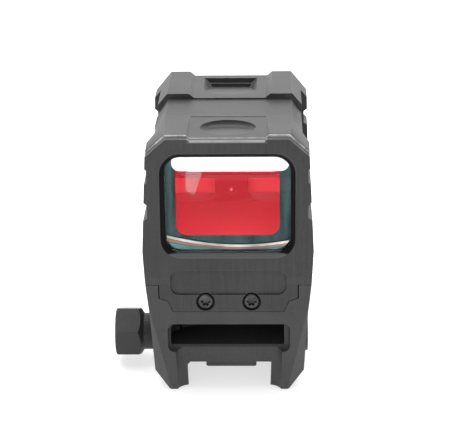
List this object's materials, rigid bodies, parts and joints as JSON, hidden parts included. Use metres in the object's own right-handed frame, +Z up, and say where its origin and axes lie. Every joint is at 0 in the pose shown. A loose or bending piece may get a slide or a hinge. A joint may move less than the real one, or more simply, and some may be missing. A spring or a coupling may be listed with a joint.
{
  "type": "enclosed reflex sight",
  "caption": "Enclosed reflex red dot sight with a rectangular window on a riser clamp for a cross-slot rail, tightened by a hexagon nut.",
  "frame": {"origin": "centre of the flat rail seat under the riser", "axes": "+Z up, +Y towards the eye end, -Y towards the objective end, +X to the right seen from the objective end"},
  "size_m": [0.0452, 0.054, 0.0596],
  "materials": {
    "anodised_body": "matte bead-blasted hard anodised",
    "anodised_mount": "matte bead-blasted hard anodised",
    "black_steel": "black oxide steel",
    "adjuster_metal": "fine knurled black",
    "front_glass": "red-reflecting coated glass",
    "rear_glass": "anti-reflection coated glass",
    "seal_rubber": "black rubber",
    "matt_black": "matt black optical baffle",
    "emitter_red": "lit red emitter",
    "button_rubber": "moulded rubber",
    "board_green": "solder mask",
    "spring_steel": "bright spring steel",
    "cell_steel": "nickel plated"
  },
  "bodies": {
    "sight_body": {"housing": "anodised_body", "mount_base": "anodised_mount", "rear_bezel": "anodised_mount", "cross_bolt": "black_steel", "recoil_lug": "black_steel", "mount_screws": "black_steel", "cover_screws": "black_steel", "front_lens": "front_glass", "rear_window": "rear_glass", "front_lens_seal": "seal_rubber", "rear_window_seal": "seal_rubber", "floor_baffle": "matt_black", "bay_cover": "matt_black", "circuit_board": "board_green", "switch_board": "board_green", "clamp_springs": "spring_steel", "battery_contact": "spring_steel", "switch_domes": "spring_steel"},
    "clamp_jaw_body": {"clamp_jaw": "anodised_mount"},
    "clamp_nut_body": {"clamp_nut": "black_steel"},
    "button_up_body": {"button_up": "button_rubber"},
    "button_down_body": {"button_down": "button_rubber"},
    "tray_body": {"battery_tray": "anodised_mount", "battery": "cell_steel", "tray_seal": "seal_rubber"},
    "tray_screw_body": {"tray_screw": "black_steel"},
    "windage_body": {"windage_adjuster": "adjuster_metal"},
    "elevation_body": {"elevation_adjuster": "adjuster_metal"},
    "windage_slide_body": {"windage_slide": "matt_black"},
    "emitter_body": {"emitter_block": "matt_black", "emitter_led": "emitter_red"}
  },
  "joints": [
    {"name": "jaw_slide", "type": "slide", "parent": "sight_body", "child": "clamp_jaw_body", "axis": [-1, 0, 0], "range_m": [-0.0002, 0.003]},
    {"name": "nut_turn", "type": "hinge", "parent": "clamp_jaw_body", "child": "clamp_nut_body", "pos_m": [-0.0265, -0.0093, 0.0012], "axis": [-1, 0, 0], "range_deg": [-90, 1350]},
    {"name": "button_up_press", "type": "slide", "parent": "sight_body", "child": "button_up_body", "axis": [1, 0, 0], "range_m": [0, 0.0006], "stiffness_N_per_m": 1500, "springref_m": -0.0004},
    {"name": "button_down_press", "type": "slide", "parent": "sight_body", "child": "button_down_body", "axis": [1, 0, 0], "range_m": [0, 0.0006], "stiffness_N_per_m": 1500, "springref_m": -0.0004},
    {"name": "tray_slide", "type": "slide", "parent": "sight_body", "child": "tray_body", "axis": [1, 0, 0], "range_m": [0, 0.019]},
    {"name": "tray_screw_turn", "type": "hinge", "parent": "tray_body", "child": "tray_screw_body", "pos_m": [0.016, 0.004, 0.0224], "axis": [1, 0, 0], "range_deg": [0, 1080]},
    {"name": "windage_turn", "type": "hinge", "parent": "sight_body", "child": "windage_body", "pos_m": [0.0179, 0.0178, 0.0226], "axis": [1, 0, 0], "range_deg": [-360, 360]},
    {"name": "elevation_turn", "type": "hinge", "parent": "sight_body", "child": "elevation_body", "pos_m": [0, 0.0268, 0.0229], "axis": [0, 1, 0], "range_deg": [-360, 360]},
    {"name": "windage_shift", "type": "slide", "parent": "sight_body", "child": "windage_slide_body", "axis": [1, 0, 0], "range_m": [-0.0003, 0.0003]},
    {"name": "elevation_shift", "type": "slide", "parent": "windage_slide_body", "child": "emitter_body", "axis": [0, 0, 1], "range_m": [-0.0003, 0.0003]}
  ],
  "couplings": [
    {"joint": "nut_turn", "follows": "jaw_slide", "rad_per_m": 7854},
    {"joint": "windage_turn", "follows": "windage_shift", "rad_per_m": 20944},
    {"joint": "elevation_turn", "follows": "elevation_shift", "rad_per_m": 20944}
  ]
}
